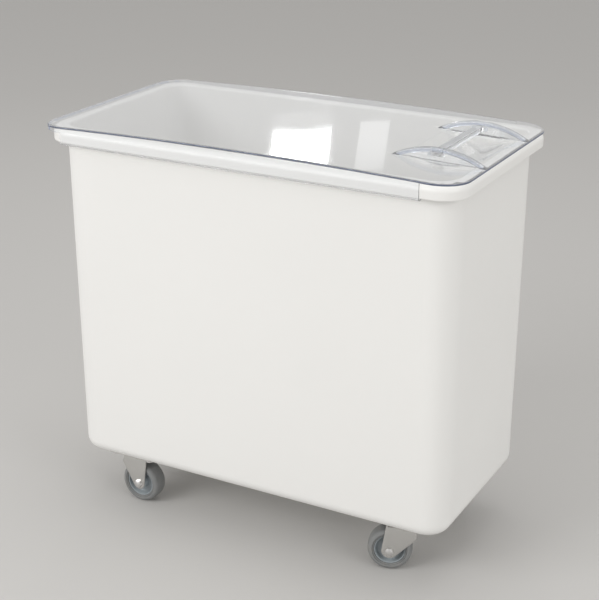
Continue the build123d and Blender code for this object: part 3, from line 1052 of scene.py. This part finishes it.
hexShape = {
    "flats": 13 * mm,
    "height": 5.3 * mm,
    "dome": 1.5 * mm,
    "domeSteps": (1, 0.8, 0.6, 0.4, 0.2, 0),
    "foot": 0.3 * mm,
    "chamferStart": 0.94,
    "chamferSlope": radians(30),
    "shank": 4 * mm,
    "shankEnd": 0.6 * mm,
    "shankPast": 2 * mm,
    "nutHeight": 6.5 * mm,
    "nutBore": 4.1 * mm,
    "collarHeight": 1.6 * mm,
    "collarInset": 0.2 * mm,
    "collarRound": 1 * mm,
    "steps": 72,
}
hexCrown = hexShape["flats"] / 2 * hexShape["chamferStart"]


def hexRadius(angle):
    # distance from the middle to the side of a hexagon at an angle
    sixth = pi / 3
    return hexShape["flats"] / 2 / cos(angle % sixth - sixth / 2)


def chamferDrop(corner):
    return (corner - hexCrown) * tan(hexShape["chamferSlope"])


def hexHead(angle, shankLength):
    # bolt on its axle: shank below 0, chamfered and slightly domed head above
    shape = hexShape
    top = shape["height"] - shape["dome"]
    shank, end, foot, corner = shape["shank"], shape["shankEnd"], shape["foot"], hexRadius(angle)
    profile = [(0, -shankLength), (shank - end, -shankLength), (shank, end - shankLength), (shank, 0)]
    profile += [(corner - foot, 0), (corner, foot), (corner, top - chamferDrop(corner))]
    for share in shape["domeSteps"]:
        profile.append((hexCrown * share, top + shape["dome"] * (1 - share**2)))
    return profile


def lockNut(angle):
    # hexagon nut with a round collar that holds its locking ring
    shape = hexShape
    height, bore, turn, foot = shape["nutHeight"], shape["nutBore"], shape["collarRound"], shape["foot"]
    corner = hexRadius(angle)
    flank = height - shape["collarHeight"]
    profile = [(bore, 0), (corner - foot, 0), (corner, foot)]
    profile += [(corner, flank - chamferDrop(corner)), (hexCrown, flank)]
    profile += arc((hexCrown - turn - shape["collarInset"], height - turn), turn, 0, 90, 4)
    profile.append((bore, height))
    return profile


def makeAxleBolts():
    steps = hexShape["steps"]
    reach = 2 * legOuter + hexShape["nutHeight"] + hexShape["shankPast"]
    for name in casterNames:
        axle = axleOf(name)
        centre = middleOf(f"tyre_{name}")
        body = "bin" if name.startswith("rigid") else f"fork_{name}"
        near, far = centre + axle * legOuter, centre - axle * legOuter
        bolt = turned(f"axleBoltDomed_{name}", lambda angle: hexHead(angle, reach), near, axle, steps)
        dress(bolt, brightSteel, body, [f"axle_bolt_{name}"], 25)
        nut = turned(f"axleNutLocking_{name}", lockNut, far, -axle, steps)
        dress(nut, brightSteel, body, [f"axle_nut_{name}"], 25)


def newTree(name, inputs):
    # node tree with named inputs and a geometry output
    tree = bpy.data.node_groups.new(name, "GeometryNodeTree")
    addSocket = tree.interface.new_socket
    addSocket("Geometry", in_out="INPUT", socket_type="NodeSocketGeometry")
    sockets = {}
    for label, kind in inputs:
        sockets[label] = addSocket(label, in_out="INPUT", socket_type="NodeSocket" + kind).identifier
    addSocket("Geometry", in_out="OUTPUT", socket_type="NodeSocketGeometry")
    return tree, sockets, tree.nodes.new("NodeGroupInput").outputs


def copyOnPoints(tree, points, instance):
    copies = tree.nodes.new("GeometryNodeInstanceOnPoints")
    tree.links.new(points, copies.inputs["Points"])
    tree.links.new(instance, copies.inputs["Instance"])
    return copies.outputs[0]


def realFaces(tree, geometry):
    real = tree.nodes.new("GeometryNodeRealizeInstances")
    tree.links.new(geometry, real.inputs[0])
    return real.outputs[0]


def endTree(tree, given, geometry):
    # real faces and a material, because instances aren't kept
    paint = tree.nodes.new("GeometryNodeSetMaterial")
    result = tree.nodes.new("NodeGroupOutput")
    tree.links.new(realFaces(tree, geometry), paint.inputs["Geometry"])
    tree.links.new(given["Material"], paint.inputs["Material"])
    tree.links.new(paint.outputs[0], result.inputs[0])


def plateTree():
    # one fastener at each corner of a rectangle round every point of the mesh
    spacings = (("Spacing Along", "Float"), ("Spacing Across", "Float"))
    inputs = (("Fastener", "Object"), *spacings, ("Material", "Material"))
    tree, sockets, given = newTree("fastenersRoundPlates", inputs)
    corners = tree.nodes.new("GeometryNodeMeshGrid")
    corners.inputs["Vertices X"].default_value = 2
    corners.inputs["Vertices Y"].default_value = 2
    tree.links.new(given["Spacing Along"], corners.inputs["Size X"])
    tree.links.new(given["Spacing Across"], corners.inputs["Size Y"])
    source = tree.nodes.new("GeometryNodeObjectInfo")
    tree.links.new(given["Fastener"], source.inputs["Object"])
    places = realFaces(tree, copyOnPoints(tree, given["Geometry"], corners.outputs["Mesh"]))
    endTree(tree, given, copyOnPoints(tree, places, source.outputs["Geometry"]))
    return tree, sockets


def ballTree():
    # ring of balls about every point of the mesh
    radii = (("Ring Radius", "Float"), ("Ball Radius", "Float"))
    inputs = (("Count", "Int"), *radii, ("Material", "Material"))
    tree, sockets, given = newTree("ringOfBalls", inputs)
    track = tree.nodes.new("GeometryNodeMeshCircle")
    tree.links.new(given["Count"], track.inputs["Vertices"])
    tree.links.new(given["Ring Radius"], track.inputs["Radius"])
    ball = tree.nodes.new("GeometryNodeMeshUVSphere")
    ball.inputs["Segments"].default_value = 16
    ball.inputs["Rings"].default_value = 10
    tree.links.new(given["Ball Radius"], ball.inputs["Radius"])
    ring = copyOnPoints(tree, track.outputs["Mesh"], ball.outputs["Mesh"])
    endTree(tree, given, copyOnPoints(tree, given["Geometry"], ring))
    return tree, sockets


def grow(name, places, treeAndSockets, values):
    # a mesh of bare points, grown by a node tree into a plain mesh
    tree, sockets = treeAndSockets
    mesh = bpy.data.meshes.new(name)
    mesh.from_pydata([tuple(place) for place in places], [], [])
    piece = addObject(name, mesh)
    modifier = piece.modifiers.new(name, "NODES")
    modifier.node_group = tree
    for label, value in values.items():
        modifier[sockets[label]] = value
    return bake(piece)


fastenerShape = {
    "shankPast": 10 * mm,
    "washerOuter": 8.5 * mm,
    "washerInner": 4.1 * mm,
    "washerThickness": 1.6 * mm,
    "washerEdge": 0.3 * mm,
    "insertOuter": 6.5 * mm,
    "insertInner": 4.05 * mm,
    "insertLength": 13 * mm,
    "grooveStarts": (0.3, 0.6),
    "grooveShares": (0, 0.03, 0.12, 0.15),
    "grooveDepth": 0.7 * mm,
    "roundSteps": 40,
    "ballCount": 20,
    "ballRing": 21 * mm,
    "ballRadius": 2.95 * mm,
}


def washerProfile(angle):
    shape = fastenerShape
    outer, inner = shape["washerOuter"], shape["washerInner"]
    thick, edge = shape["washerThickness"], shape["washerEdge"]
    profile = [(inner, 0), (outer - edge, 0), (outer, edge)]
    return profile + [(outer, thick - edge), (outer - edge, thick), (inner, thick)]


def insertProfile(angle):
    # turned insert with two grip grooves round it
    shape = fastenerShape
    outer, inner, length = shape["insertOuter"], shape["insertInner"], shape["insertLength"]
    depth = shape["grooveDepth"]
    profile = [(inner, 0), (outer, 0)]
    for start in shape["grooveStarts"]:
        for share, cut in zip(shape["grooveShares"], (0, depth, depth, 0)):
            profile.append((outer - cut, length * (start + share)))
    return profile + [(outer, length), (inner, length)]


def makeFasteners():
    shape, steps = fastenerShape, fastenerShape["roundSteps"]
    base = plateUnder + casterShape["plateThickness"]
    headTop = plateUnder - shape["washerThickness"]
    reach = base + shape["shankPast"] - headTop
    along, across = casterShape["boltSpacing"]
    plates = []
    for kind in ("rigid_fork", "swivel_plate"):
        plates += [middleOf(f"{kind}_{side}") for side in sides]
    boltProfile = lambda angle: hexHead(angle, reach)
    kinds = {
        # profile, direction, height, steps, material, slot
        "caster_bolts": (boltProfile, -up, headTop, hexShape["steps"], brightSteel, "bright_steel"),
        "caster_washers": (washerProfile, up, headTop, steps, brightSteel, "bright_steel"),
        "threaded_inserts": (insertProfile, up, base, steps, brassTurned, "brass_insert"),
    }
    tree = plateTree()
    for node, (profileAt, axis, height, count, material, slotName) in kinds.items():
        one = turned("one", profileAt, Vector((0, 0, 0)), axis, count)
        one.data.shade_smooth()
        places = [(plate.x, plate.y, height) for plate in plates]
        values = {"Fastener": one, "Spacing Along": along, "Spacing Across": across, "Material": material}
        group = grow(node + "_turned", places, tree, values)
        bpy.data.objects.remove(one)
        dress(group, material, "bin", [node], 25)

    tree = ballTree()
    values = {
        "Count": shape["ballCount"],
        "Ring Radius": shape["ballRing"],
        "Ball Radius": shape["ballRadius"],
        "Material": polishedSteel,
    }
    for side in sides:
        node = f"race_balls_{side}"
        balls = grow(node + "_polished", [middleOf(node)], tree, values)
        dress(balls, polishedSteel, "bin", [node], 60)


softened = {
    # CAD nodes whose shape is right but whose edges need breaking
    "edges": {"swivel_plate": 0.5 * mm, "ball_race": 0.6 * mm, "kingpin": 0.4 * mm},
    "weld": 0.01 * mm,
    "flat": radians(1),
    "sharp": radians(40),
    "segments": 3,
}


def makeSoftened():
    for kind, width in softened["edges"].items():
        finish = (brightSteel, "bright_steel") if kind == "kingpin" else (zincPlate, "zinc_plate")
        for side in sides:
            node = f"{kind}_{side}"
            mesh = frame["nodes"][node].data.copy()
            build = bmesh.new()
            build.from_mesh(mesh)
            bmesh.ops.remove_doubles(build, verts=build.verts, dist=softened["weld"])
            flat = softened["flat"]
            bmesh.ops.dissolve_limit(build, angle_limit=flat, verts=build.verts, edges=build.edges)
            build.to_mesh(mesh)
            build.free()
            piece = addObject(node + "_softened", mesh)
            bevel = piece.modifiers.new("broken edges", "BEVEL")
            bevel.width = width
            bevel.segments = softened["segments"]
            bevel.limit_method = "ANGLE"
            bevel.angle_limit = softened["sharp"]
            dress(bake(piece), finish[0], "bin", [node])


makeWheels()
print("wheels made")
makeRigidForks()
makeSwivelForks()
print("forks made")
makeAxleBolts()
makeFasteners()
makeSoftened()
print("fasteners and bearings made")

looks = {
    "bin_tub": whitePlastic,
    "sliding_lid": clearPlastic,
    "threaded_inserts": brassTurned,
    "race_balls": polishedSteel,
    "tyre": greyRubber,
    "wheel_core": greyCore,
    "wheel_bush": naturalNylon,
    "axle": brightSteel,
    "caster": brightSteel,
    "kingpin": brightSteel,
}
for nodeName, node in frame["nodes"].items():
    finish = next((look for start, look in looks.items() if nodeName.startswith(start)), zincPlate)
    node.data.materials.clear()
    node.data.materials.append(finish)
